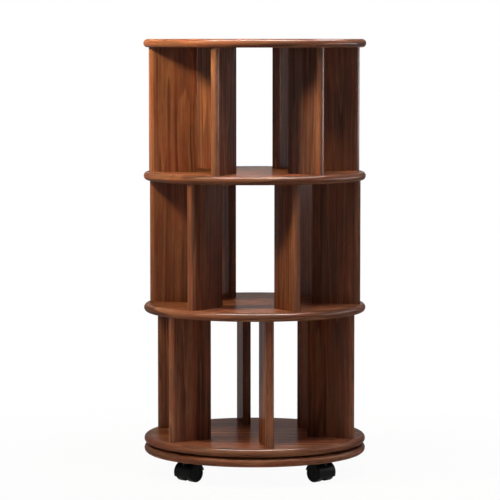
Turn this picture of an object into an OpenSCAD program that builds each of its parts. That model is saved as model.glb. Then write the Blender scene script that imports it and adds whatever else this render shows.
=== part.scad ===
// Revolving round bookcase. Four round boards and three tiers of upright dividers turn
// as one on a ring bearing, above a base board that stands on four twin-wheel castors.
// Sizes are in millimetres. The origin is on the floor, on the axis that the bookcase
// turns on. Z is up and the front faces -Y. A turn is measured from straight ahead,
// anticlockwise seen from above.

/* [Boards] */
// Diameter of the round boards
board_d = 500; // [470:10:560]
// Thickness of the round boards
board_t = 19; // [18:0.5:25]
// Clear height of each tier
tier_h = 278; // [230:2:340]

/* [Dividers] */
// Thickness of an upright divider
divider_t = 19; // [16:0.5:22]
// Width of a divider, from its rounded front edge to its inner end
divider_w = 108; // [100:1:116]
// Distance from the rim of a board in to the front edge of a divider
divider_inset = 11; // [8:1:16]
// Radius on the upright corners of a divider's inner end
divider_ease = 1.5; // [0.5:0.5:3]
// Turn of the top tier's first divider
top_tier_turn = -22; // [-30:1:0]
// Turn of each tier from the tier above it
tier_twist = 15; // [12:1:30]

/* [Divider screws and dowels] */
// Length of a divider screw
screw_l = 45; // [40:1:50]
// Diameter of a divider screw
screw_d = 5; // [4:0.5:6]
// Diameter of a divider screw's flat head
screw_head_d = 9.5; // [8.5:0.5:10]
// Distance of the outer screw from a divider's front edge
screw_from_edge = 19; // [16:1:24]
// Least distance of the inner screw's head from the bearing's pocket
screw_from_pocket = 10; // [6:1:14]
// Diameter of the wooden plugs over the divider screws
plug_d = 11; // [10.5:0.5:14]
// Depth of the plugs in their boards
plug_h = 4; // [3:0.5:6]
// Diameter of a dowel
dowel_d = 8; // [6:1:10]
// Length of a dowel
dowel_l = 30; // [25:1:40]
// Depth of a dowel in a board
dowel_seat = 10; // [8:0.5:10]
// Distance of a dowel from a divider's inner end
dowel_from_end = 14; // [10:1:18]
// Chamfer on the ends of a dowel
dowel_chamfer = 1; // [0.5:0.5:1.5]

/* [Ring bearing] */
// Gap seen between the base board and the lowest shelf
turning_gap = 3; // [2:0.5:5]
// Height of the ring bearing, part of it in a pocket under the lowest shelf
bearing_h = 9; // [8.5:0.5:10]
// Diameter of the circle that the bearing balls run on
ball_circle_d = 280; // [250:5:290]
// Diameter of a bearing ball
ball_d = 5; // [4:0.5:5]
// Number of bearing balls
ball_count = 24; // [18:1:36]
// Width of each bearing ring
ring_w = 17; // [15:0.5:20]
// Chamfer on the edges of each bearing ring
ring_chamfer = 0.6; // [0.3:0.1:1]
// Height that each ring stands clear of the board that it isn't screwed to
ring_lift = 0.8; // [0.5:0.1:1.5]
// Thickness of the strip that spaces the balls
cage_t = 0.8; // [0.6:0.1:1]
// Height of the strip above and below its balls
cage_rim = 0.6; // [0.4:0.1:0.8]
// Length of a bearing screw
ring_screw_l = 16; // [14:1:18]
// Diameter of a bearing screw
ring_screw_d = 4; // [3:0.5:4]
// Diameter of a bearing screw's flat head
ring_screw_head_d = 8; // [6.5:0.5:8]
// Diameter of the screwdriver hole through the base board
access_d = 14; // [10:1:14]

/* [Castors] */
// Height from the floor to the underside of the base board
castor_h = 46; // [44:1:56]
// Distance from the axis to a castor's swivel pin
swivel_r = 215; // [200:1:218]
// Distance that the wheels trail behind the swivel pin
trail = 9; // [8.5:0.5:14]
// Side of a castor's square plate
plate_w = 36; // [34:1:42]
// Thickness of a castor's plate
plate_t = 2; // [2:0.5:3]
// Radius on the plate's corners
plate_corner_r = 4; // [2:0.5:5]
// Diameter of the swivel pin
swivel_pin_d = 7; // [6:0.5:8]
// Height of the swivel pin's lower end above the floor
swivel_pin_z = 12; // [11:1:18]
// Height of the foot of the hood's web above the floor
web_foot_z = 8; // [6:1:9]
// Diameter of a wheel
wheel_d = 40; // [36:1:40]
// Width of a wheel
wheel_w = 18; // [14:0.5:18]
// Distance between the middles of a castor's two wheels
wheel_spacing = 32; // [31:0.5:36]
// Radius on the edges of a wheel's tread
tread_r = 2.5; // [1:0.5:3.5]
// Diameter of the axle
axle_d = 5; // [4:0.5:6]
// Chamfer on the ends of the axle
axle_chamfer = 0.4; // [0.2:0.1:0.8]
// Thickness of a wheel's closed outer face
wheel_face_t = 4; // [3:0.5:5]
// Depth of the dish in the outer face
wheel_dish = 1; // [0.5:0.5:1.5]
// Width of the raised rim round the dish
wheel_brim = 6; // [4:0.5:8]
// Thickness of a wheel's tread
wheel_tread_t = 4; // [3:0.5:5]
// Wall of a wheel's hub round the axle
wheel_hub_t = 3; // [2:0.5:4]
// Thickness of the hood over the wheels
hood_t = 1.8; // [1.4:0.1:2]
// Angle of the hood's outward edge from the axle, below level
hood_outward_angle = 25; // [10:1:35]
// Angle of the hood's inward edge from the axle, above level
hood_inward_angle = 15; // [8:1:40]
// Wall of the hood's collar round the swivel pin
collar_t = 4.2; // [3:0.2:5]
// Length of a castor screw
castor_screw_l = 14; // [12:1:16]
// Diameter of a castor screw
castor_screw_d = 3.5; // [3:0.5:3.5]
// Diameter of a castor screw's flat head
castor_screw_head_d = 7; // [6:0.5:7]
// Distance of a castor screw from the plate's edges
castor_screw_inset = 5; // [4.5:0.5:6]

/* [Clearances] */
// Radial clearance of screws, dowels and plugs in their holes
hole_clear = 0.1; // [0.05:0.05:0.2]
// Clearance past the blind end of a screw or dowel
end_clear = 0.5; // [0.3:0.1:1]
// Radial clearance of a turning pin in its bore
pin_clear = 0.05; // [0.03:0.01:0.1]
// Clearance between faces that turn past each other
face_clear = 0.3; // [0.2:0.1:0.5]
// Clearance of the strip between the two rings
cage_clear = 0.5; // [0.4:0.1:0.6]
// Clearance between a bearing ball and its races
race_clear = 0.3; // [0.2:0.05:0.3]
// Clearance of the bearing pocket round the rings
pocket_clear = 2; // [1:0.5:3]
// Clearance between the hood and the treads
hood_clear = 0.8; // [0.6:0.1:1]

/* [Hidden] */
$fn = 120;
PER_TIER = 6;
SECTOR = 360 / PER_TIER;
TIERS = ["bottom", "middle", "top"];
CORNERS = ["front_left", "front_right", "rear_right", "rear_left"];
CASTOR_PIECES = ["plate", "hood", "axle", "wheel_1", "wheel_2"];

walnut = [0.45, 0.25, 0.16];
beech = [0.78, 0.62, 0.42];
steel = [0.72, 0.72, 0.74];
aluminium = [0.82, 0.83, 0.85];
nylon = [0.88, 0.87, 0.82];
black = [0.07, 0.07, 0.07];

// How far a cut runs past the face that it opens
OVERCUT = 1;
// Width of a screw's hexagonal socket and of its tip, as shares of its shank
SOCKET = 0.6;
TIP = 0.2;

// Heights of the undersides of the boards
base_z = castor_h;
base_top_z = base_z + board_t;
bottom_shelf_z = base_top_z + turning_gap;
tier_pitch = board_t + tier_h;
function shelf_z(tier) = bottom_shelf_z + tier * tier_pitch;

// Turn of a tier's first divider, with tier 0 at the bottom
function tier_turn(tier) = top_tier_turn - (len(TIERS) - 1 - tier) * tier_twist;

// Distances from the axis, along a divider
divider_front_r = board_d / 2 - divider_inset;
divider_end_r = divider_front_r - divider_w;
outer_screw_r = divider_front_r - screw_from_edge;
dowel_r = divider_end_r + dowel_from_end;
pilot_l = screw_l - board_t + end_clear;

// Ring bearing. The strip runs midway between the two rings
ball_r = ball_circle_d / 2;
ring_h = bearing_h - ring_lift;
ring_half_gap = cage_t / 2 + cage_clear;
inner_ring_r = ball_r - ring_half_gap;
outer_ring_r = ball_r + ring_half_gap;
inner_ring_screw_r = inner_ring_r - ring_w / 2;
outer_ring_screw_r = outer_ring_r + ring_w / 2;
cage_h = ball_d + 2 * cage_rim;
pocket_h = bearing_h - turning_gap;
pocket_inner_r = inner_ring_r - ring_w - pocket_clear;
pocket_outer_r = outer_ring_r + ring_w + pocket_clear;
inner_screw_r = pocket_outer_r + screw_from_pocket + screw_head_d / 2;
ring_turn = tier_turn(0) + SECTOR / 2;

// Castors. The wheels are twins on one axle, and the hood's web runs between them
wheel_r = wheel_d / 2;
wheel_gap = wheel_spacing - wheel_w;
web_t = wheel_gap - 2 * hood_clear;
axle_l = wheel_spacing + wheel_w - 2 * wheel_face_t;
hood_inner_r = wheel_r + hood_clear;
hood_outer_r = hood_inner_r + hood_t;
hood_middle_r = hood_inner_r + hood_t / 2;
collar_top_z = base_z - plate_t - face_clear;
castor_turns = [for (k = [0:len(CORNERS) - 1]) -45 + 90 * k];

module each_divider(turn) {
    for (k = [0:PER_TIER - 1]) rotate([0, 0, turn + k * SECTOR]) children();
}

module each_screw_place() {
    for (r = [inner_screw_r, outer_screw_r]) translate([0, -r, 0]) children();
}

module each_castor() {
    for (turn = castor_turns) rotate([0, 0, turn]) translate([0, -swivel_r, 0]) children();
}

module each_castor_screw_place() {
    reach = plate_w / 2 - castor_screw_inset;
    for (x = [-reach, reach]) for (y = [-reach, reach]) translate([x, y, 0]) children();
}

// Flat-head screw that points down from its head at z = 0
module screw(length, diameter, head_d) {
    tip_l = diameter;
    head_h = (head_d - diameter) / 2;
    difference() {
        rotate_extrude() polygon([
            [0, 0],
            [head_d / 2, 0],
            [diameter / 2, -head_h],
            [diameter / 2, -length + tip_l],
            [diameter * TIP / 2, -length],
            [0, -length]
        ]);
        translate([0, 0, -head_h]) cylinder(h = head_h + OVERCUT, d = diameter * SOCKET, $fn = 6);
    }
}

// Hole for a flat-head screw, open above z = 0
module screw_hole(depth, diameter, head_d) {
    head_h = (head_d - diameter) / 2;
    rotate_extrude() polygon([
        [0, OVERCUT],
        [head_d / 2 + hole_clear, OVERCUT],
        [head_d / 2 + hole_clear, 0],
        [diameter / 2 + hole_clear, -head_h],
        [diameter / 2 + hole_clear, -depth],
        [0, -depth]
    ]);
}

module pilot_hole(depth, diameter) {
    translate([0, 0, -depth]) cylinder(h = depth + OVERCUT, r = diameter / 2 + hole_clear);
}

// Round rod with chamfered ends, from z = 0 up
module rod(length, diameter, chamfer) {
    rotate_extrude() polygon([
        [0, 0],
        [diameter / 2 - chamfer, 0],
        [diameter / 2, chamfer],
        [diameter / 2, length - chamfer],
        [diameter / 2 - chamfer, length],
        [0, length]
    ]);
}

module dowel() {
    rod(dowel_l, dowel_d, dowel_chamfer);
}

// Round board with a fully rounded rim, from z = 0 up
module round_board() {
    nose_r = board_t / 2;
    rotate_extrude() {
        square([board_d / 2 - nose_r, board_t]);
        translate([board_d / 2 - nose_r, nose_r]) circle(r = nose_r);
    }
}

// Holes in a board for the tops of the dividers under it. Screws go in from above, with
// their heads sunk by sink under plugs, and dowels stand in from below
module joint_holes(turn, sink) {
    each_divider(turn) {
        each_screw_place() translate([0, 0, board_t - sink])
            screw_hole(board_t + OVERCUT, screw_d, screw_head_d);
        if (sink > 0) each_screw_place() translate([0, 0, board_t]) pilot_hole(sink, plug_d);
        mirror([0, 0, 1]) translate([0, -dowel_r, 0]) pilot_hole(dowel_seat + end_clear, dowel_d);
    }
}

// The same joint upside down, for the dividers that stand on a board
module flipped_in_board() {
    translate([0, 0, board_t]) mirror([0, 0, 1]) children();
}

module divider_screws(turn, sink) {
    each_divider(turn) each_screw_place() translate([0, 0, board_t - sink])
        screw(screw_l, screw_d, screw_head_d);
}

module divider_plugs(turn) {
    each_divider(turn) each_screw_place() translate([0, 0, board_t - plug_h])
        cylinder(h = plug_h, d = plug_d);
}

module divider_outline() {
    nose_r = divider_t / 2;
    corner_x = nose_r - divider_ease;
    nose_y = -divider_front_r + nose_r;
    end_y = -divider_end_r - divider_ease;
    translate([-nose_r, nose_y]) square([divider_t, end_y - nose_y]);
    translate([0, nose_y]) circle(r = nose_r);
    translate([-corner_x, end_y]) square([2 * corner_x, divider_ease]);
    for (x = [-corner_x, corner_x]) translate([x, end_y]) circle(r = divider_ease);
}

// Holes in one end of a divider, which faces up at z = 0
module divider_end_holes(sink) {
    each_screw_place() pilot_hole(pilot_l + sink, screw_d);
    translate([0, -dowel_r, 0]) pilot_hole(dowel_l - dowel_seat + end_clear, dowel_d);
}

// Only the screws under the lowest shelf have no plugs, in the gap where they don't show
module divider(tier, k) {
    lower_sink = tier > 0 ? plug_h : 0;
    color(walnut) translate([0, 0, shelf_z(tier) + board_t])
        rotate([0, 0, tier_turn(tier) + k * SECTOR])
            difference() {
                linear_extrude(tier_h) divider_outline();
                translate([0, 0, tier_h]) divider_end_holes(plug_h);
                mirror([0, 0, 1]) divider_end_holes(lower_sink);
            }
}

// Dowels at both ends of every divider in a tier
module tier_dowels(tier) {
    color(beech) each_divider(tier_turn(tier)) translate([0, -dowel_r, 0]) {
        translate([0, 0, shelf_z(tier) + board_t - dowel_seat]) dowel();
        translate([0, 0, shelf_z(tier + 1) + dowel_seat - dowel_l]) dowel();
    }
}

module base_board() {
    color(walnut) difference() {
        translate([0, 0, base_z]) round_board();
        translate([0, 0, base_top_z]) each_ring_screw(inner_ring_screw_r)
            pilot_hole(ring_screw_l - ring_h + end_clear, ring_screw_d);
        rotate([0, 0, ring_turn]) translate([0, -outer_ring_screw_r, base_z - OVERCUT])
            cylinder(h = board_t + 2 * OVERCUT, d = access_d);
        each_castor() translate([0, 0, base_z]) each_castor_screw_place() mirror([0, 0, 1])
            pilot_hole(castor_screw_l - plate_t + end_clear, castor_screw_d);
    }
}

module bottom_shelf() {
    color(walnut) translate([0, 0, shelf_z(0)]) difference() {
        round_board();
        bearing_pocket();
        flipped_in_board() joint_holes(tier_turn(0), 0);
        translate([0, 0, pocket_h]) each_ring_screw(outer_ring_screw_r) mirror([0, 0, 1])
            pilot_hole(ring_screw_l - ring_h + end_clear, ring_screw_d);
    }
}

// Shelf between two tiers: tier stands on it, and tier - 1 is under it
module middle_shelf(tier) {
    color(walnut) translate([0, 0, shelf_z(tier)]) difference() {
        round_board();
        joint_holes(tier_turn(tier - 1), plug_h);
        flipped_in_board() joint_holes(tier_turn(tier), plug_h);
    }
}

module top_shelf() {
    top_tier = len(TIERS) - 1;
    color(walnut) translate([0, 0, shelf_z(top_tier + 1)]) difference() {
        round_board();
        joint_holes(tier_turn(top_tier), plug_h);
    }
}

module middle_shelf_screws(tier) {
    color(steel) translate([0, 0, shelf_z(tier)]) {
        divider_screws(tier_turn(tier - 1), plug_h);
        flipped_in_board() divider_screws(tier_turn(tier), plug_h);
    }
}

module middle_shelf_plugs(tier) {
    color(walnut) translate([0, 0, shelf_z(tier)]) {
        divider_plugs(tier_turn(tier - 1));
        flipped_in_board() divider_plugs(tier_turn(tier));
    }
}

module bottom_shelf_screws() {
    color(steel) translate([0, 0, shelf_z(0)]) flipped_in_board() divider_screws(tier_turn(0), 0);
}

module top_shelf_screws() {
    top_tier = len(TIERS) - 1;
    color(steel) translate([0, 0, shelf_z(top_tier + 1)])
        divider_screws(tier_turn(top_tier), plug_h);
}

module top_shelf_plugs() {
    top_tier = len(TIERS) - 1;
    color(walnut) translate([0, 0, shelf_z(top_tier + 1)]) divider_plugs(tier_turn(top_tier));
}

// Ring bearing: the inner ring is screwed down to the base board, and the outer ring up
// into the pocket of the lowest shelf
module each_ring_screw(radius) {
    each_divider(ring_turn) translate([0, -radius, 0]) children();
}

// Upright tube between two radii, from z = 0 up
module tube(height, inner_r, outer_r) {
    difference() {
        cylinder(h = height, r = outer_r);
        translate([0, 0, -OVERCUT]) cylinder(h = height + 2 * OVERCUT, r = inner_r);
    }
}

module bearing_pocket() {
    translate([0, 0, -OVERCUT]) tube(pocket_h + OVERCUT, pocket_inner_r, pocket_outer_r);
}

// Chamfered section of a bearing ring, with its lower inner corner at radius, z
module ring_section(radius, z) {
    c = ring_chamfer;
    translate([radius, z]) polygon([
        [c, 0],
        [ring_w - c, 0],
        [ring_w, c],
        [ring_w, ring_h - c],
        [ring_w - c, ring_h],
        [c, ring_h],
        [0, ring_h - c],
        [0, c]
    ]);
}

module race_section() {
    translate([ball_r, bearing_h / 2]) circle(r = ball_d / 2 + race_clear);
}

module bearing_inner_ring() {
    color(aluminium) translate([0, 0, base_top_z]) difference() {
        rotate_extrude() difference() {
            ring_section(inner_ring_r - ring_w, 0);
            race_section();
        }
        translate([0, 0, ring_h]) each_ring_screw(inner_ring_screw_r)
            screw_hole(ring_h + OVERCUT, ring_screw_d, ring_screw_head_d);
    }
}

module bearing_outer_ring() {
    color(aluminium) translate([0, 0, base_top_z]) difference() {
        rotate_extrude() difference() {
            ring_section(outer_ring_r, ring_lift);
            race_section();
        }
        translate([0, 0, ring_lift]) each_ring_screw(outer_ring_screw_r) mirror([0, 0, 1])
            screw_hole(ring_h + OVERCUT, ring_screw_d, ring_screw_head_d);
    }
}

module each_ball() {
    translate([0, 0, base_top_z + bearing_h / 2])
        for (k = [0:ball_count - 1]) rotate([0, 0, k * 360 / ball_count]) children();
}

module bearing_balls() {
    color(steel) each_ball() translate([0, -ball_r, 0]) sphere(d = ball_d);
}

// Thin strip between the rings, with a square window for each ball. Its ends meet midway
// between two balls
module ball_cage() {
    color(nylon) difference() {
        translate([0, 0, base_top_z + (bearing_h - cage_h) / 2])
            rotate([0, 0, 180 / ball_count - 90])
                tube(cage_h, ball_r - cage_t / 2, ball_r + cage_t / 2);
        each_ball() translate([0, -ball_r, 0]) cube(ball_d + 2 * hole_clear, center = true);
    }
}

module inner_ring_screws() {
    color(steel) translate([0, 0, base_top_z + ring_h]) each_ring_screw(inner_ring_screw_r)
        screw(ring_screw_l, ring_screw_d, ring_screw_head_d);
}

module outer_ring_screws() {
    color(steel) translate([0, 0, base_top_z + ring_lift]) each_ring_screw(outer_ring_screw_r)
        mirror([0, 0, 1]) screw(ring_screw_l, ring_screw_d, ring_screw_head_d);
}

module castor_plate_screws() {
    color(steel) each_castor() translate([0, 0, base_z - plate_t]) each_castor_screw_place()
        mirror([0, 0, 1]) screw(castor_screw_l, castor_screw_d, castor_screw_head_d);
}

// One castor, with its swivel pin on the Z axis. Its hood closes the outward side, -Y,
// and its wheels trail inwards, +Y
module plate_outline() {
    side = plate_w - 2 * plate_corner_r;
    square([plate_w, side], center = true);
    square([side, plate_w], center = true);
    for (x = [-side / 2, side / 2]) for (y = [-side / 2, side / 2])
        translate([x, y]) circle(r = plate_corner_r);
}

module castor_plate() {
    color(black) difference() {
        union() {
            translate([0, 0, base_z - plate_t]) linear_extrude(plate_t) plate_outline();
            translate([0, 0, swivel_pin_z])
                cylinder(h = base_z - plate_t / 2 - swivel_pin_z, d = swivel_pin_d);
        }
        translate([0, 0, base_z - plate_t]) each_castor_screw_place() mirror([0, 0, 1])
            screw_hole(plate_t + OVERCUT, castor_screw_d, castor_screw_head_d);
    }
}

// Sector of a circle between two angles, reaching past every radius used here
module sector(from, to) {
    reach = 3 * hood_outer_r;
    polygon(concat(
        [[0, 0]],
        [for (a = [from:(to - from) / 4:to]) reach * [cos(a), sin(a)]]
    ));
}

// Side view of the hood with the axle at the origin and the outward side to the left
module hood_shell_outline() {
    mirror([1, 0]) intersection() {
        difference() {
            circle(r = hood_outer_r);
            circle(r = hood_inner_r);
        }
        sector(-hood_outward_angle, 180 - hood_inward_angle);
    }
}

module hood_web_outline() {
    intersection() {
        circle(r = hood_middle_r);
        translate([-hood_middle_r, web_foot_z - wheel_r])
            square([2 * hood_middle_r, wheel_r + hood_middle_r]);
    }
}

module across_castor(width) {
    translate([0, trail, wheel_r]) rotate([90, 0, 90])
        linear_extrude(width, center = true) children();
}

// Collar round the swivel pin, standing on the hood
module hood_collar() {
    collar_r = swivel_pin_d / 2 + collar_t;
    difference() {
        translate([0, 0, wheel_r]) cylinder(h = collar_top_z - wheel_r, r = collar_r);
        across_castor(2 * collar_r + OVERCUT) circle(r = hood_middle_r);
    }
}

module castor_hood() {
    pin_bore_z = swivel_pin_z - end_clear;
    color(black) difference() {
        union() {
            across_castor(wheel_spacing + wheel_w) hood_shell_outline();
            across_castor(web_t) hood_web_outline();
            hood_collar();
        }
        translate([0, 0, pin_bore_z])
            cylinder(h = base_z - pin_bore_z, r = swivel_pin_d / 2 + pin_clear);
        across_castor(wheel_gap) circle(d = axle_d);
    }
}

module castor_axle() {
    color(steel) translate([-axle_l / 2, trail, wheel_r]) rotate([0, 90, 0])
        rod(axle_l, axle_d, axle_chamfer);
}

// Section of a wheel, from its inner face at y = 0 to its closed outer face
module wheel_section() {
    bore_r = axle_d / 2 + pin_clear;
    bore_h = wheel_w - wheel_face_t + end_clear;
    hub_r = axle_d / 2 + wheel_hub_t;
    cavity_w = wheel_r - wheel_tread_t - hub_r;
    cavity_h = wheel_w - wheel_face_t;
    dish_w = wheel_r - wheel_brim - hub_r;
    difference() {
        union() {
            square([wheel_r - tread_r, wheel_w]);
            translate([0, tread_r]) square([wheel_r, wheel_w - 2 * tread_r]);
            for (y = [tread_r, wheel_w - tread_r])
                translate([wheel_r - tread_r, y]) circle(r = tread_r);
        }
        translate([0, -OVERCUT]) square([bore_r, bore_h + OVERCUT]);
        translate([hub_r, -OVERCUT]) square([cavity_w, cavity_h + OVERCUT]);
        translate([hub_r, wheel_w - wheel_dish]) square([dish_w, wheel_dish + OVERCUT]);
    }
}

// Wheel on the +X side of its castor for side = 1, and on the -X side for side = -1
module castor_wheel(side) {
    color(black) translate([side * wheel_gap / 2, trail, wheel_r])
        rotate([0, side * 90, 0]) rotate_extrude() wheel_section();
}

module castor_piece(piece) {
    if (piece == "plate") castor_plate();
    if (piece == "hood") castor_hood();
    if (piece == "axle") castor_axle();
    if (piece == "wheel_1") castor_wheel(-1);
    if (piece == "wheel_2") castor_wheel(1);
}

base_board();
bottom_shelf();
middle_shelf(1);  // lower_shelf
middle_shelf(2);  // upper_shelf
top_shelf();
for (tier = [0:len(TIERS) - 1]) {
    for (k = [0:PER_TIER - 1])
        divider(tier, k);
    tier_dowels(tier);
}
bottom_shelf_screws();
middle_shelf_screws(1);  // lower_shelf_screws
middle_shelf_screws(2);  // upper_shelf_screws
top_shelf_screws();
middle_shelf_plugs(1);  // lower_shelf_plugs
middle_shelf_plugs(2);  // upper_shelf_plugs
top_shelf_plugs();
bearing_inner_ring();
bearing_outer_ring();
bearing_balls();
ball_cage();
inner_ring_screws();
outer_ring_screws();
castor_plate_screws();
for (c = [0:len(CORNERS) - 1]) for (piece = CASTOR_PIECES)
    rotate([0, 0, castor_turns[c]]) translate([0, -swivel_r, 0]) castor_piece(piece);
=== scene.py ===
# Looks of the revolving round bookcase: its camera, lamps, floor and materials. Sizes are in
# metres and angles in degrees. The front faces -Y, and a turn is measured from straight
# ahead, anticlockwise seen from above.
import itertools
import math

import bpy
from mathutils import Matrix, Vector


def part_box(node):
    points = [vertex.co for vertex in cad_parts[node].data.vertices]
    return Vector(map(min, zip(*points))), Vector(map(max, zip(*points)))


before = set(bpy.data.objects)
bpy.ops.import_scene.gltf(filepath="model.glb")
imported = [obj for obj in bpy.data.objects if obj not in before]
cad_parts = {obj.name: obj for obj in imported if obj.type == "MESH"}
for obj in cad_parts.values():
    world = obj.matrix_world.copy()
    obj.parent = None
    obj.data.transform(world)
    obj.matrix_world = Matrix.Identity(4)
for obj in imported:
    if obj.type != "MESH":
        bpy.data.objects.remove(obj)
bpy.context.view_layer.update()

# Camera. Its focal length is in pixels of the photograph, which is 500 by 500
FRAME_PIXELS = 500
FOCAL_PIXELS = 2666
SENSOR_MM = 36
EYE = Vector((-0.0107, -6.0, 0.978))
CAMERA_PITCH = 4.529
CLIP_END = 100

# Bookcase. The first divider of the top tier stands at TOP_TIER_TURN, and each tier is turned by TIER_TWIST
# from the one below it
TIERS = ("bottom", "middle", "top")
SHELVES = ("bottom_shelf", "lower_shelf", "upper_shelf", "top_shelf")
PER_TIER = 6
TOP_TIER_TURN = -22
TIER_TWIST = 15
BOARD_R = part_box("top_shelf")[1].x
DIVIDER_FRONT_R = 0.239
RIM_LIPPING_W = 0.014
NOSE_LIPPING_W = 0.012
LEAF_W = 0.125
GLUE_LINE_HALF_W = 0.0003

# Castors. A wheel's dust grows from DUST_START_R to DUST_FULL_R, at its tread
CORNERS = ("front_left", "front_right", "rear_right", "rear_left")
FIRST_CASTOR_TURN = -45
AXLE_R = 0.206
AXLE_Z = 0.02
DUST_START_R = 0.0178
DUST_FULL_R = 0.0198

# Floor, which shows a faint shadow as far as SHADOW_R, and is plain white from FADE_R on
FLOOR_W = 60
SHADOW_R = 0.4
FADE_R = 1.2
SHADOW_GLOW = 0.955

# Strength of the light from all round
AMBIENT_STRENGTH = 0.07


def linear(red, green, blue):
    """Linear colour from an sRGB colour of 0 to 255."""
    channels = []
    for value in (red, green, blue):
        share = value / 255
        channels.append(share / 12.92 if share <= 0.04045 else ((share + 0.055) / 1.055) ** 2.4)
    return (*channels, 1.0)


# Colours
WHITE = (1, 1, 1, 1)
WALNUT_DARK = linear(64, 39, 29)
WALNUT_MID = linear(120, 74, 53)
WALNUT_LIGHT = linear(161, 109, 75)
WALNUT_RED = linear(124, 62, 42)
BEECH_DARK = linear(188, 148, 106)
BEECH_LIGHT = linear(216, 180, 138)
BEECH_FLECK = linear(160, 116, 78)
ZINC = linear(198, 198, 202)
ALUMINIUM = linear(214, 216, 220)
NYLON_DARK = linear(222, 219, 205)
NYLON_LIGHT = linear(236, 234, 222)
BLACK = linear(13, 12, 12)
BLACK_SCUFF = linear(26, 25, 25)
BLACK_DUST = linear(48, 45, 42)
POWDER_COAT = linear(18, 17, 18)
POWDER_COAT_SCUFF = linear(30, 29, 29)
FLOOR_GREY = linear(225, 224, 222)
AMBIENT = linear(236, 240, 248)

# Noise runs from 0 to 1, but little of it lies outside these spans
MOST_NOISE = (0.25, 0.75)
ALL_NOISE = (0.2, 0.8)

# Number of a mix node's first input and of its output, for each type of data
MIX_SOCKETS = {"RGBA": (6, 2), "VECTOR": (4, 1)}


def evenly(per_metre):
    """The same number of features in a metre along each axis."""
    return (per_metre, per_metre, per_metre)


class Graph:
    """Adds nodes to a tree and links them. An input is a value or another node's output."""

    def __init__(self, tree):
        self.tree = tree
        tree.nodes.clear()

    def add(self, kind, inputs=(), **settings):
        node = self.tree.nodes.new(kind)
        for name, value in settings.items():
            setattr(node, name, value)
        for key, value in dict(inputs).items():
            self.feed(node.inputs[key], value)
        return node

    def feed(self, socket, value):
        if isinstance(value, bpy.types.NodeSocket):
            self.tree.links.new(value, socket)
        else:
            socket.default_value = value

    def math(self, operation, *values):
        return self.add("ShaderNodeMath", enumerate(values), operation=operation).outputs[0]

    def product(self, first, *others):
        for value in others:
            first = self.math("MULTIPLY", first, value)
        return first

    def scale(self, vector, factors):
        return self.add("ShaderNodeVectorMath", {0: vector, 1: factors}, operation="MULTIPLY").outputs[0]

    def shift(self, vector, offset):
        return self.add("ShaderNodeVectorMath", {0: vector, 1: offset}, operation="ADD").outputs[0]

    def combine(self, x=0.0, y=0.0, z=0.0):
        return self.add("ShaderNodeCombineXYZ", {"X": x, "Y": y, "Z": z}).outputs[0]

    def split(self, vector):
        return self.add("ShaderNodeSeparateXYZ", {0: vector}).outputs

    def noise(self, vector, per_metre, detail=2.0, roughness=0.5, distortion=0.0):
        """Noise from 0 to 1, with a number of features in a metre along each axis."""
        inputs = {"Vector": self.scale(vector, per_metre), "Scale": 1.0, "Detail": detail,
                  "Roughness": roughness, "Distortion": distortion}
        return self.add("ShaderNodeTexNoise", inputs).outputs[0]

    def wander(self, vector, per_metre, reach):
        """Coordinates moved to and fro by a slow noise, with reach as the whole way across."""
        inputs = {"Vector": self.scale(vector, per_metre), "Scale": 1.0, "Detail": 1.0}
        drift = self.add("ShaderNodeTexNoise", inputs).outputs["Color"]
        return self.shift(vector, self.scale(self.shift(drift, (-0.5, -0.5, -0.5)), reach))

    def remap(self, value, span, result=(0.0, 1.0)):
        """Value taken from one span to another, and held at that one's ends."""
        inputs = {"Value": value, "From Min": span[0], "From Max": span[1],
                  "To Min": result[0], "To Max": result[1]}
        return self.add("ShaderNodeMapRange", inputs).outputs[0]

    def ramp(self, value, stops):
        node = self.add("ShaderNodeValToRGB", {0: value})
        elements = node.color_ramp.elements
        while len(elements) < len(stops):
            elements.new(0.5)
        for element, (place, colour) in zip(elements, stops):
            element.position = place
            element.color = colour
        return node.outputs[0]

    def mix(self, factor, first, second, data_type="RGBA", blend="MIX"):
        node = self.add("ShaderNodeMix", data_type=data_type, blend_type=blend)
        first_input, output = MIX_SOCKETS[data_type]
        self.feed(node.inputs[0], factor)
        self.feed(node.inputs[first_input], first)
        self.feed(node.inputs[first_input + 1], second)
        return node.outputs[output]

    def tinted(self, colour, tint):
        return self.mix(1.0, colour, tint, blend="MULTIPLY")

    def shaded(self, colour, share):
        return self.tinted(colour, self.combine(share, share, share))

    def place(self):
        """Object coordinates."""
        return self.add("ShaderNodeTexCoord").outputs["Object"]

    def turned(self, turn, offset=(0, 0, 0)):
        """Object coordinates turned back by an angle, and then shifted."""
        inputs = {"Vector": self.place(), "Rotation": (0, 0, -math.radians(turn)), "Location": offset}
        return self.add("ShaderNodeMapping", inputs).outputs[0]

    def from_axis(self, first, second):
        """Distance from an axis, from the two coordinates across it."""
        squares = self.math("ADD", self.product(first, first), self.product(second, second))
        return self.math("SQRT", squares)

    def bump(self, height, distance, strength):
        inputs = {"Height": height, "Distance": distance, "Strength": strength}
        return self.add("ShaderNodeBump", inputs).outputs[0]

    def surface(self, **inputs):
        """Principled shader and the material's output. Each keyword feeds the input of that name, as
        coat_ior feeds Coat IOR."""
        names = {key: key.replace("_", " ").title().replace("Ior", "IOR") for key in inputs}
        shader = self.add("ShaderNodeBsdfPrincipled", {names[key]: value for key, value in inputs.items()})
        self.add("ShaderNodeOutputMaterial", {"Surface": shader.outputs[0]})


def new_material(name):
    material = bpy.data.materials.new(name)
    material.use_nodes = True
    return material, Graph(material.node_tree)


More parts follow.
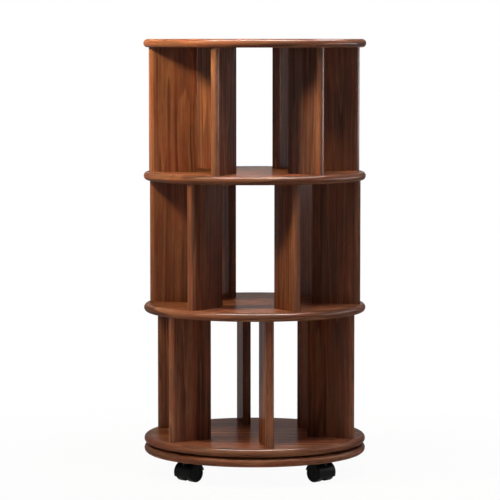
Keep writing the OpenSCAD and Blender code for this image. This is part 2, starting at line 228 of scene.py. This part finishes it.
# Walnut's features: how many there are in a metre, both ways across the grain and then along it
DRIFT = (6, 6, 3.5)
RING_FIELD = (14, 14, 0.7)
STREAKS = (170, 170, 2.2)
FIBRES = (1100, 1100, 14)
MOTTLE = (90, 90, 20)
RED_PATCHES = (45, 45, 8)
PORE_DASHES = (1500, 1500, 38)
DRIFT_REACH = (0.016, 0.016, 0)
RING_CONTOURS = 9.0
# Colours of a growth ring, from where the year's growth begins to where it ends
RING_COLOURS = (
    (0.0, WALNUT_LIGHT), (0.4, WALNUT_MID), (0.86, WALNUT_DARK), (0.95, WALNUT_DARK), (1.0, WALNUT_LIGHT),
)
# Spans of noise over which a veil, a red patch and a pore go from least to most
VEIL_SPAN = (0.3, 0.7)
RED_SPAN = (0.45, 0.65)
PORE_SPAN = (0.6, 0.72)
# Share of a ring's colour that the middle brown veils, and the most red that a patch has
VEIL_SHARES = (0.45, 0.85)
RED_SHARE = 0.5
# Factors of brightness between which each feature varies. A pore and a glue line only darken
STREAK_SHADES = (0.58, 1.42)
FIBRE_SHADES = (0.82, 1.18)
MOTTLE_SHADES = (0.88, 1.12)
TONE_SHADES = (0.7, 1.3)
PORE_SHADE = 0.55
GLUE_LINE_SHADE = 0.62
# Roughness of the wood, from fibre to fibre, and what an open pore adds to it
WOOD_ROUGHNESS = (0.34, 0.46)
PORE_ROUGHNESS = 0.2
# Strength of the pores at a ring's end, against 1 where it begins
PORES_AT_RING_END = 0.45
# Height of the fibres, against 1 for a pore's depth
FIBRE_HEIGHT = 0.25

# Grain coordinates are in metres, with Z along the grain. Each piece of wood takes another part of
# them, one step further on
SEED_STEP = Vector((1.37, 2.11, 3.73))
# Pieces of wood vary in tone, from -1 for the darkest to 1 for the palest. A divider's lipping is paler
# than its veneer by the nose tone below, partly as the solid wood's own tone and partly as painted shade
# that darkens the veneer faces inside the tiers. For each board there are the tones of its leaves and of
# its lipping
NOSE_TONE_AND_SHADE = 0.8
BASE_TONES = (0.2, 0.4)
# The leaves of the bottom, lower and upper shelves are paler, at 0.8, as painted light on the shelf floors
# inside the tiers
SHELF_TONES_AND_LIGHT = ((0.8, 0.1), (0.8, 0.3), (0.8, -0.2), (0.0, 0.9))
# Tones of the dividers in the bottom, middle and top tier, in the order of their turns. They are partly the
# wood's own tone and partly painted shade: the darkest, on bottom_divider_6, middle_divider_2 and
# top_divider_2, darken the faces where shade falls inside the tiers
DIVIDER_TONES_AND_SHADE = (
    (1.0, 0.4, -0.4, 0.1, -0.3, -0.9),
    (-0.4, -0.8, -0.4, 0.2, -0.1, -0.3),
    (-0.3, -0.9, -0.4, -0.2, 0.1, 0.5),
)
# Veneer is a little redder than the solid lippings. Two dividers have a greyer, bluer veneer, which is
# painted light: it stands for cool light on their shaded faces
LIPPING_TINT = (1.0, 1.05, 1.1, 1.0)
VENEER_TINT = (1.0, 0.96, 0.94, 1.0)
DIVIDER_COOL_LIGHT_TINTS = {"bottom_divider_1": (1.0, 1.05, 1.15, 1.0), "top_divider_2": (0.95, 1.13, 1.5, 1.0)}
# Weight of the lacquer's coat on boards and on dividers, and its refraction and roughness
BOARD_COAT = 0.1
DIVIDER_COAT = 0.12
LACQUER_IOR = 1.5
LACQUER_ROUGHNESS = 0.2
# A bent lipping's grain slants: how fast it is crossed going up the rim, and going outwards
SLANT_BY_HEIGHT = 0.9
SLANT_BY_RADIUS = 0.45


def walnut_group():
    """Node group that turns grain coordinates and a tone into walnut's colour, roughness and height."""
    group = bpy.data.node_groups.new("walnut", "ShaderNodeTree")
    for name, kind in (("Grain", "NodeSocketVector"), ("Tone", "NodeSocketFloat")):
        group.interface.new_socket(name, in_out="INPUT", socket_type=kind)
    for name, kind in (("Color", "NodeSocketColor"), ("Roughness", "NodeSocketFloat"),
                       ("Height", "NodeSocketFloat")):
        group.interface.new_socket(name, in_out="OUTPUT", socket_type=kind)
    graph = Graph(group)
    entry = graph.add("NodeGroupInput").outputs
    grain = graph.wander(entry["Grain"], DRIFT, DRIFT_REACH)

    # Growth rings: contours of a slow noise, dark where a year's growth ends
    field = graph.noise(grain, RING_FIELD, detail=2.5, distortion=0.2)
    ring = graph.math("FRACT", graph.product(field, RING_CONTOURS))
    ring_colour = graph.ramp(ring, RING_COLOURS)
    # Streaks a few millimetres wide, fibres finer than that, and a mottle across both
    streaks = graph.noise(grain, STREAKS, detail=3.0, roughness=0.6)
    fibres = graph.noise(grain, FIBRES, roughness=0.6)
    mottle = graph.noise(grain, MOTTLE)
    patches = graph.noise(grain, RED_PATCHES)
    # Pores are short dark dashes, and show most where a ring begins
    dashes = graph.remap(graph.noise(grain, PORE_DASHES, detail=1.0), PORE_SPAN)
    pores = graph.product(dashes, graph.remap(ring, (0.0, 1.0), (1.0, PORES_AT_RING_END)))

    colour = graph.mix(graph.remap(streaks, VEIL_SPAN, VEIL_SHARES), ring_colour, WALNUT_MID)
    colour = graph.mix(graph.remap(patches, RED_SPAN, (0.0, RED_SHARE)), colour, WALNUT_RED)
    light = graph.product(
        graph.remap(streaks, MOST_NOISE, STREAK_SHADES),
        graph.remap(fibres, MOST_NOISE, FIBRE_SHADES),
        graph.remap(mottle, MOST_NOISE, MOTTLE_SHADES),
        graph.remap(entry["Tone"], (-1.0, 1.0), TONE_SHADES),
        graph.remap(pores, (0.0, 1.0), (1.0, PORE_SHADE)),
    )
    roughness = graph.math("ADD", graph.remap(fibres, ALL_NOISE, WOOD_ROUGHNESS),
                           graph.product(pores, PORE_ROUGHNESS))
    height = graph.math("SUBTRACT", graph.product(fibres, FIBRE_HEIGHT), pores)
    graph.add("NodeGroupOutput", {"Color": graph.shaded(colour, light), "Roughness": roughness,
                                  "Height": height})
    return group


WALNUT = walnut_group()


def walnut_surface(graph, grain, tone, lipping, to_glue, coat, tint=VENEER_TINT):
    """Lacquered walnut on grain coordinates. Lipping is 1 in the solid lipping and 0 in the veneer, and
    to_glue is the distance to the nearest glue line."""
    wood = graph.add("ShaderNodeGroup", {"Grain": grain, "Tone": tone}, node_tree=WALNUT).outputs
    shade = graph.remap(to_glue, (0.0, GLUE_LINE_HALF_W), (GLUE_LINE_SHADE, 1.0))
    colour = graph.tinted(wood["Color"], graph.mix(lipping, tint, LIPPING_TINT))
    height = graph.math("ADD", wood["Height"], shade)
    graph.surface(base_color=graph.shaded(colour, shade), roughness=wood["Roughness"],
                  normal=graph.bump(height, distance=0.00012, strength=0.5),
                  ior=LACQUER_IOR, specular_ior_level=0.0,
                  coat_weight=coat, coat_roughness=LACQUER_ROUGHNESS, coat_ior=LACQUER_IOR)


def divider_walnut(name, turn, seed, tone, tint):
    """Walnut with upright grain, in the divider's own directions, with a lipping at its front."""
    material, graph = new_material(name)
    place = graph.turned(turn)
    to_line = graph.math("ADD", graph.split(place)[1], DIVIDER_FRONT_R - NOSE_LIPPING_W)
    lipping = graph.math("LESS_THAN", to_line, 0.0)
    # The lipping is another piece of wood, so it takes another part of the grain
    own_part = graph.scale(graph.combine(lipping, lipping, lipping), SEED_STEP)
    grain = graph.shift(graph.shift(place, own_part), SEED_STEP * seed)
    # The lipping's paler tone is partly the solid wood's own and partly painted shade on the veneer faces
    tone = graph.math("MULTIPLY_ADD", lipping, NOSE_TONE_AND_SHADE, tone)
    walnut_surface(graph, grain, tone, lipping, graph.math("ABSOLUTE", to_line), DIVIDER_COAT, tint)
    return material


def board_walnut(name, turn, seed, tones):
    """Book-matched leaves of walnut inside a bent lipping, with the grain from side to side."""
    material, graph = new_material(name)
    x, y, z = graph.split(graph.turned(turn))
    radius = graph.from_axis(x, y)
    to_line = graph.math("SUBTRACT", radius, BOARD_R - RIM_LIPPING_W)
    lipping = graph.math("GREATER_THAN", to_line, 0.0)
    across = graph.math("PINGPONG", graph.math("ADD", y, 2 * LEAF_W), LEAF_W)
    leaf_grain = graph.combine(across, z, x)
    around = graph.product(graph.math("ARCTAN2", x, graph.product(y, -1.0)), BOARD_R)
    slant = graph.math("MULTIPLY_ADD", z, SLANT_BY_HEIGHT, graph.product(radius, SLANT_BY_RADIUS))
    lipping_grain = graph.combine(slant, 0.0, around)
    grain = graph.mix(lipping, leaf_grain, lipping_grain, data_type="VECTOR")
    # Glue lines lie round the lipping, and where two leaves meet. The lipping adds a metre to the distance
    # to a line between leaves, so that none runs on into it
    to_leaf_line = graph.math("MINIMUM", across, graph.math("SUBTRACT", LEAF_W, across))
    to_glue = graph.math("MINIMUM", graph.math("ABSOLUTE", to_line),
                         graph.math("ADD", to_leaf_line, lipping))
    tone = graph.remap(lipping, (0.0, 1.0), tones)
    walnut_surface(graph, graph.shift(grain, SEED_STEP * seed), tone, lipping, to_glue, BOARD_COAT)
    return material


# Features of the other materials, by how many there are in a metre
TOOL_MARKS = 2500
METAL_CLOUDS = 90
SCUFFS = 160
MOULD_RINGS = 1400
GRIME = 220
BEECH_FIBRES = (900, 900, 40)
BEECH_FLECKS = (500, 500, 120)
NYLON_CLOUDS = 60
# Spans of noise over which scuffs, grime and flecks go from none to full
SCUFF_SPAN = (0.52, 0.75)
GRIME_SPAN = (0.4, 0.72)
FLECK_SPAN = (0.58, 0.7)
# Factors of brightness of metal, and what its clouds and a scuff on black add to the roughness at most
MARK_SHADES = (0.92, 1.06)
CLOUD_SHADES = (0.9, 1.06)
CLOUD_ROUGHNESS = 0.15
SCUFF_ROUGHNESS = 0.2
# Most dust on a wheel's side and on its tread, and roughness of its clean and its dusty nylon
DUST_SHARES = (0.25, 0.9)
WHEEL_ROUGHNESS = (0.38, 0.7)
# Share of its own colour that a fleck in beech has at most
FLECK_SHARE = 0.5


def metal(name, colour, roughness, lathe_marks=False):
    """Bare metal with fine marks, which run round the bookcase's axis if it comes from a lathe."""
    material, graph = new_material(name)
    place = graph.place()
    if lathe_marks:
        x, y, z = graph.split(place)
        place = graph.combine(graph.from_axis(x, y), 0.0, z)
    marks = graph.noise(place, evenly(TOOL_MARKS))
    clouds = graph.noise(place, evenly(METAL_CLOUDS))
    shade = graph.product(graph.remap(marks, ALL_NOISE, MARK_SHADES),
                          graph.remap(clouds, ALL_NOISE, CLOUD_SHADES))
    graph.surface(base_color=graph.shaded(colour, shade), metallic=1.0,
                  roughness=graph.remap(clouds, ALL_NOISE, (roughness, roughness + CLOUD_ROUGHNESS)),
                  normal=graph.bump(marks, distance=0.00004, strength=0.4))
    return material


def coated(name, colour, scuffed, roughness, grains_per_metre):
    """Moulded or coated black surface, with a fine texture and paler scuffs."""
    material, graph = new_material(name)
    place = graph.place()
    texture = graph.noise(place, evenly(grains_per_metre), roughness=0.6)
    scuffs = graph.remap(graph.noise(place, evenly(SCUFFS), detail=4.0, roughness=0.65), SCUFF_SPAN)
    graph.surface(base_color=graph.mix(scuffs, colour, scuffed),
                  roughness=graph.remap(scuffs, (0.0, 1.0), (roughness, roughness + SCUFF_ROUGHNESS)),
                  normal=graph.bump(texture, distance=0.00008, strength=0.5),
                  ior=1.48, specular_ior_level=0.05)
    return material


def wheel_nylon(name, turn, colour, dust):
    """Black nylon with rings from the mould round the axle, and dust where the tread rolls."""
    material, graph = new_material(name)
    along, y, z = graph.split(graph.turned(turn, (0, AXLE_R, -AXLE_Z)))
    radius = graph.from_axis(y, z)
    rings = graph.noise(graph.combine(radius, 0.0, along), evenly(MOULD_RINGS))
    grime = graph.noise(graph.place(), evenly(GRIME), detail=4.0, roughness=0.6)
    tread = graph.remap(radius, (DUST_START_R, DUST_FULL_R))
    dusty = graph.product(graph.remap(grime, GRIME_SPAN), graph.remap(tread, (0.0, 1.0), DUST_SHARES))
    graph.surface(base_color=graph.mix(dusty, colour, dust),
                  roughness=graph.remap(dusty, (0.0, 1.0), WHEEL_ROUGHNESS),
                  normal=graph.bump(rings, distance=0.00006, strength=0.5),
                  ior=1.5, specular_ior_level=0.05)
    return material


def beech(name):
    """Bare beech with upright grain and short dark flecks."""
    material, graph = new_material(name)
    place = graph.place()
    fibres = graph.noise(place, BEECH_FIBRES, detail=3.0)
    flecks = graph.remap(graph.noise(place, BEECH_FLECKS, detail=1.0), FLECK_SPAN)
    colour = graph.ramp(fibres, ((0.2, BEECH_DARK), (0.8, BEECH_LIGHT)))
    colour = graph.mix(graph.product(flecks, FLECK_SHARE), colour, BEECH_FLECK)
    graph.surface(base_color=colour, roughness=0.6,
                  normal=graph.bump(fibres, distance=0.0001, strength=0.4))
    return material


def nylon(name):
    """Natural nylon, faintly cloudy."""
    material, graph = new_material(name)
    clouds = graph.noise(graph.place(), evenly(NYLON_CLOUDS))
    colour = graph.ramp(clouds, ((0.3, NYLON_DARK), (0.7, NYLON_LIGHT)))
    graph.surface(base_color=colour, roughness=0.45, subsurface_weight=0.1,
                  normal=graph.bump(clouds, distance=0.0001, strength=0.2))
    return material


def dress(node, material):
    """Gives a CAD node its material."""
    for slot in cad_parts[node].material_slots:
        slot.material = material


def dress_wood():
    """Boards, dividers, plugs and dowels, with a seed of its own for each piece of walnut."""
    seeds = itertools.count(1)
    dress("base_board", board_walnut("walnut_base_board", 0, next(seeds), BASE_TONES))
    for index, shelf in enumerate(SHELVES):
        dress(shelf, board_walnut(f"walnut_{shelf}", index * TIER_TWIST, next(seeds), SHELF_TONES_AND_LIGHT[index]))
    for index, tier in enumerate(TIERS):
        first_turn = TOP_TIER_TURN - (len(TIERS) - 1 - index) * TIER_TWIST
        for k in range(PER_TIER):
            node = f"{tier}_divider_{k + 1}"
            turn = first_turn + k * 360 / PER_TIER
            tint = DIVIDER_COOL_LIGHT_TINTS.get(node, VENEER_TINT)
            dress(node, divider_walnut(f"walnut_{node}", turn, next(seeds), DIVIDER_TONES_AND_SHADE[index][k], tint))
    for index, shelf in enumerate(SHELVES[1:], 1):
        plugs = f"{shelf}_plugs"
        dress(plugs, board_walnut(f"walnut_{plugs}", index * TIER_TWIST, next(seeds), SHELF_TONES_AND_LIGHT[index]))
    for tier in TIERS:
        dress(f"{tier}_tier_dowels", beech(f"beech_{tier}"))


def dress_hardware():
    """Screws, ring bearing and castors."""
    steel = metal("zinc_plated_steel", ZINC, roughness=0.28)
    aluminium = metal("turned_aluminium", ALUMINIUM, roughness=0.25, lathe_marks=True)
    plastic = coated("black_nylon", BLACK, BLACK_SCUFF, roughness=0.42, grains_per_metre=1800)
    coat = coated("black_powder_coat", POWDER_COAT, POWDER_COAT_SCUFF, roughness=0.5, grains_per_metre=900)
    for shelf in SHELVES:
        dress(f"{shelf}_screws", steel)
    for node in ("inner_ring_screws", "outer_ring_screws", "castor_plate_screws", "bearing_balls"):
        dress(node, steel)
    for node in ("bearing_inner_ring", "bearing_outer_ring"):
        dress(node, aluminium)
    dress("ball_cage", nylon("natural_nylon"))
    for index, corner in enumerate(CORNERS):
        turn = FIRST_CASTOR_TURN + index * 360 / len(CORNERS)
        wheel = wheel_nylon(f"black_nylon_{corner}", turn, BLACK, BLACK_DUST)
        dress(f"{corner}_castor_wheel_1", wheel)
        dress(f"{corner}_castor_wheel_2", wheel)
        dress(f"{corner}_castor_hood", plastic)
        dress(f"{corner}_castor_plate", coat)
        dress(f"{corner}_castor_axle", steel)


def add_camera():
    data = bpy.data.cameras.new("camera")
    data.sensor_width = SENSOR_MM
    data.lens = FOCAL_PIXELS * SENSOR_MM / FRAME_PIXELS
    data.clip_end = CLIP_END
    camera = bpy.data.objects.new("camera", data)
    camera.location = EYE
    camera.rotation_euler = (math.radians(90 - CAMERA_PITCH), 0, 0)
    bpy.context.scene.collection.objects.link(camera)
    bpy.context.scene.camera = camera


def add_lamp(name, turn, distance, height, aim, size, power, colour, gloss_only=False, spread=180):
    """Soft rectangular lamp, placed round the bookcase's axis and pointed at a height on it. One that is
    gloss_only shows in reflections and lights nothing else."""
    data = bpy.data.lights.new(name, "AREA")
    data.shape = "RECTANGLE"
    data.size, data.size_y = size
    data.energy = power
    data.color = colour
    data.spread = math.radians(spread)
    lamp = bpy.data.objects.new(name, data)
    angle = math.radians(turn)
    lamp.location = (distance * math.sin(angle), -distance * math.cos(angle), height)
    lamp.rotation_mode = "QUATERNION"
    lamp.rotation_quaternion = (lamp.location - Vector((0, 0, aim))).to_track_quat("Z", "Y")
    lamp.visible_camera = False
    lamp.visible_diffuse = not gloss_only
    bpy.context.scene.collection.objects.link(lamp)


def add_lamps():
    # A small golden lamp on the left and a large one above the front give the light and shade
    add_lamp("key", turn=-62, distance=1.15, height=1.5, aim=1.2, size=(0.25, 0.25), power=11.6,
             colour=(1.0, 0.85, 0.46), spread=105)
    add_lamp("front", turn=5, distance=0.95, height=2.75, aim=0.9, size=(1.2, 0.5), power=46,
             colour=(1.0, 0.98, 0.95))
    # Large lamps further off lighten the shaded sides and the back
    add_lamp("fill", turn=40, distance=2.6, height=1.3, aim=0.6, size=(1.5, 1.5), power=3.2,
             colour=(0.84, 0.93, 1.0))
    add_lamp("left_fill", turn=-42, distance=2.6, height=1.0, aim=0.7, size=(1.5, 1.0), power=3.2,
             colour=(0.94, 0.97, 1.0))
    add_lamp("back", turn=180, distance=2.6, height=1.6, aim=0.5, size=(1.5, 1.5), power=22,
             colour=(1.0, 0.98, 0.96))
    # Highlights: along the front of the rims, on the right end of the top rim, and on the right side
    add_lamp("overhead_gloss", turn=0, distance=0.4, height=3.0, aim=0.5, size=(2.5, 0.4), power=1150,
             colour=(1.0, 0.97, 0.93), gloss_only=True)
    add_lamp("rim_gloss", turn=107, distance=0.55, height=1.56, aim=0.95, size=(0.7, 0.25), power=33,
             colour=(0.96, 0.97, 1.0), gloss_only=True)
    add_lamp("right_gloss", turn=98, distance=1.5, height=0.8, aim=0.8, size=(1.6, 0.3), power=13,
             colour=(0.88, 0.93, 1.0), gloss_only=True, spread=90)


def seen_directly(graph):
    """1 for rays from the camera, or by way of a mirror or glass, and 0 for light on the object."""
    path = graph.add("ShaderNodeLightPath").outputs
    seen = graph.math("MAXIMUM", path["Is Camera Ray"], path["Is Glossy Ray"])
    return graph.math("MAXIMUM", seen, path["Is Transmission Ray"])


def add_world():
    """White background that lights the bookcase only weakly."""
    world = bpy.data.worlds.new("studio")
    world.use_nodes = True
    bpy.context.scene.world = world
    graph = Graph(world.node_tree)
    ambient = graph.add("ShaderNodeBackground", {"Color": AMBIENT, "Strength": AMBIENT_STRENGTH})
    white = graph.add("ShaderNodeBackground", {"Color": WHITE, "Strength": 1.0})
    shaders = {0: seen_directly(graph), 1: ambient.outputs[0], 2: white.outputs[0]}
    mixed = graph.add("ShaderNodeMixShader", shaders)
    graph.add("ShaderNodeOutputWorld", {"Surface": mixed.outputs[0]})


def add_floor():
    """White floor that keeps a light shadow round the bookcase, and is clear when seen from below."""
    bpy.ops.mesh.primitive_plane_add(size=FLOOR_W, location=(0, 0, 0))
    floor = bpy.context.object
    floor.name = "floor"
    material, graph = new_material("white_floor")
    diffuse = graph.add("ShaderNodeBsdfDiffuse", {"Color": FLOOR_GREY})
    white = graph.add("ShaderNodeEmission", {"Color": WHITE, "Strength": 1.0})
    x, y, _ = graph.split(graph.place())
    glow = graph.remap(graph.from_axis(x, y), (SHADOW_R, FADE_R), (SHADOW_GLOW, 1.0))
    share = graph.product(seen_directly(graph), glow)
    lit = graph.add("ShaderNodeMixShader", {0: share, 1: diffuse.outputs[0], 2: white.outputs[0]})
    below = graph.product(graph.add("ShaderNodeNewGeometry").outputs["Backfacing"],
                          graph.add("ShaderNodeLightPath").outputs["Is Camera Ray"])
    clear = graph.add("ShaderNodeBsdfTransparent")
    both = graph.add("ShaderNodeMixShader", {0: below, 1: lit.outputs[0], 2: clear.outputs[0]})
    graph.add("ShaderNodeOutputMaterial", {"Surface": both.outputs[0]})
    floor.data.materials.append(material)


dress_wood()
dress_hardware()
add_camera()
add_lamps()
add_world()
add_floor()
bpy.context.scene.view_settings.view_transform = "Standard"
